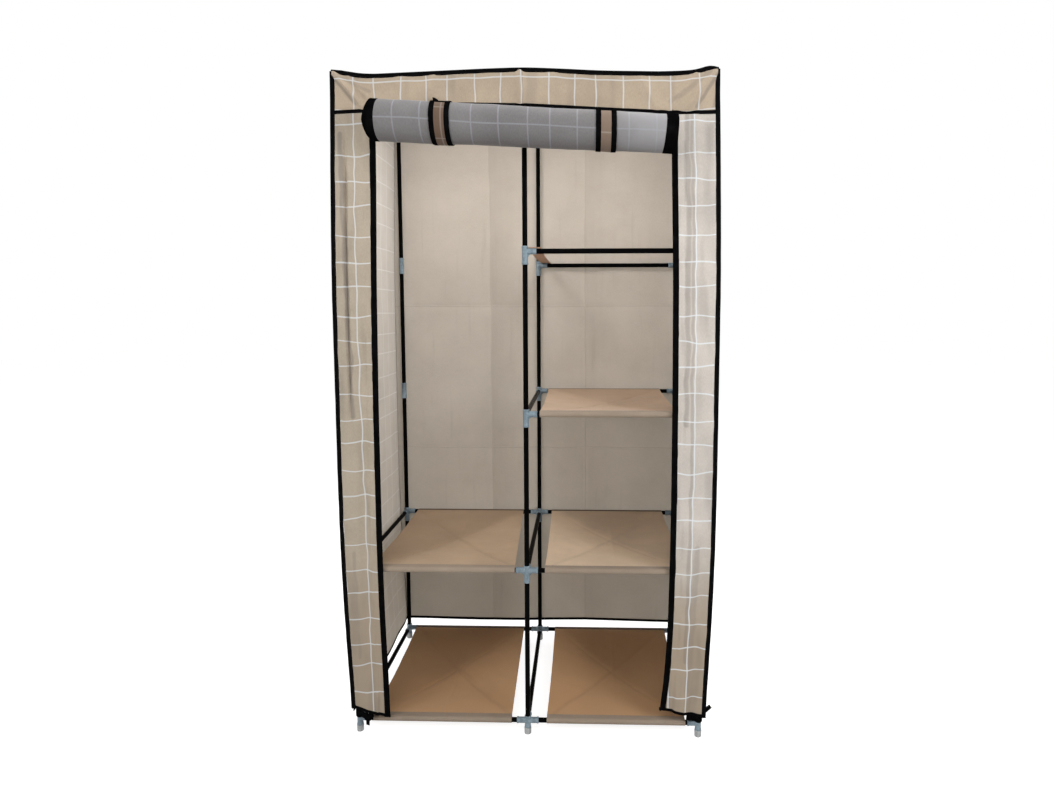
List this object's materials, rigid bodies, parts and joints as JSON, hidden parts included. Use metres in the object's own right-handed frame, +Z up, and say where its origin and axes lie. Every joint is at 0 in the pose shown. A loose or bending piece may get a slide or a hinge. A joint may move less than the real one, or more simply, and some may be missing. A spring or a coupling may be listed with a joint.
{
  "type": "portable fabric wardrobe",
  "caption": "Free-standing fabric wardrobe on a push-fit tube frame, with cloth shelves, a hanging bay and a zipped front door rolled up and strapped at the top.",
  "frame": {"origin": "middle of the underside of the bounding box, on the floor", "axes": "+Z up, +X to the right seen from the front, +Y from the open front to the back"},
  "size_m": [0.897, 0.6178, 1.5905],
  "materials": {
    "black_tube": "gloss black coating",
    "foot_plastic": "pale moulded plastic",
    "cover_cloth": "non-woven cloth with a thin pale check",
    "lining_cloth": "inner side of the non-woven cloth",
    "shelf_cloth": "plain non-woven cloth",
    "strap_webbing": "cloth strap with bound edges",
    "zip_metal": "plated zip slider"
  },
  "bodies": {
    "wardrobe": {"cover_back": "cover_cloth", "cover_side_left": "cover_cloth", "cover_side_right": "cover_cloth", "cover_top": "cover_cloth", "cover_valance": "cover_cloth", "foot_front_centre": "foot_plastic", "foot_front_left": "foot_plastic", "foot_front_right": "foot_plastic", "foot_rear_centre": "foot_plastic", "foot_rear_left": "foot_plastic", "foot_rear_right": "foot_plastic", "front_strip_left": "cover_cloth", "front_strip_right": "cover_cloth", "hanging_rail": "black_tube", "shelf_level0_left": "shelf_cloth", "shelf_level0_right": "shelf_cloth", "shelf_level1_left": "shelf_cloth", "shelf_level1_right": "shelf_cloth", "shelf_level2_right": "shelf_cloth", "tube_level0_depth_centre": "black_tube", "tube_level0_depth_left": "black_tube", "tube_level0_depth_right": "black_tube", "tube_level0_front_left": "black_tube", "tube_level0_front_right": "black_tube", "tube_level0_rear_left": "black_tube", "tube_level0_rear_right": "black_tube", "tube_level1_depth_centre": "black_tube", "tube_level1_depth_left": "black_tube", "tube_level1_depth_right": "black_tube", "tube_level1_front_left": "black_tube", "tube_level1_front_right": "black_tube", "tube_level1_rear_left": "black_tube", "tube_level1_rear_right": "black_tube", "tube_level2_depth_centre": "black_tube", "tube_level2_depth_right": "black_tube", "tube_level2_front_right": "black_tube", "tube_level2_rear_right": "black_tube", "tube_level3_front_right": "black_tube", "tube_level3_rear_right": "black_tube", "tube_level4_depth_centre": "black_tube", "tube_level4_depth_left": "black_tube", "tube_level4_depth_right": "black_tube", "tube_level4_front_left": "black_tube", "tube_level4_front_right": "black_tube", "tube_level4_rear_left": "black_tube", "tube_level4_rear_right": "black_tube", "upright_front_centre": "black_tube", "upright_front_left": "black_tube", "upright_front_right": "black_tube", "upright_rear_centre": "black_tube", "upright_rear_left": "black_tube", "upright_rear_right": "black_tube"},
    "door_roll": {"rolled_door": "lining_cloth", "roll_strap_left": "strap_webbing", "roll_strap_right": "strap_webbing"},
    "slider_left": {"zip_slider_left": "zip_metal"},
    "slider_right": {"zip_slider_right": "zip_metal"},
    "pull_left": {"zip_pull_left": "zip_metal"},
    "pull_right": {"zip_pull_right": "zip_metal"},
    "rail_strap": {"rail_strap": "strap_webbing"}
  },
  "joints": [
    {"name": "door_roll_lift", "type": "hinge", "parent": "wardrobe", "child": "door_roll", "pos_m": [0, -0.20114, 1.498], "axis": [-1, 0, 0], "range_deg": [0, 30]},
    {"name": "zip_slide_left", "type": "slide", "parent": "wardrobe", "child": "slider_left", "axis": [0, 0, -1], "range_m": [0, 1.39]},
    {"name": "zip_slide_right", "type": "slide", "parent": "wardrobe", "child": "slider_right", "axis": [0, 0, -1], "range_m": [0, 1.39]},
    {"name": "zip_pull_left_swing", "type": "hinge", "parent": "slider_left", "child": "pull_left", "pos_m": [-0.344, -0.20694, 1.467], "axis": [-1, 0, 0], "range_deg": [0, 10]},
    {"name": "zip_pull_right_swing", "type": "hinge", "parent": "slider_right", "child": "pull_right", "pos_m": [0.34, -0.20694, 1.467], "axis": [-1, 0, 0], "range_deg": [0, 150]},
    {"name": "rail_strap_slide", "type": "slide", "parent": "wardrobe", "child": "rail_strap", "axis": [1, 0, 0], "range_m": [0, 0.37]}
  ]
}
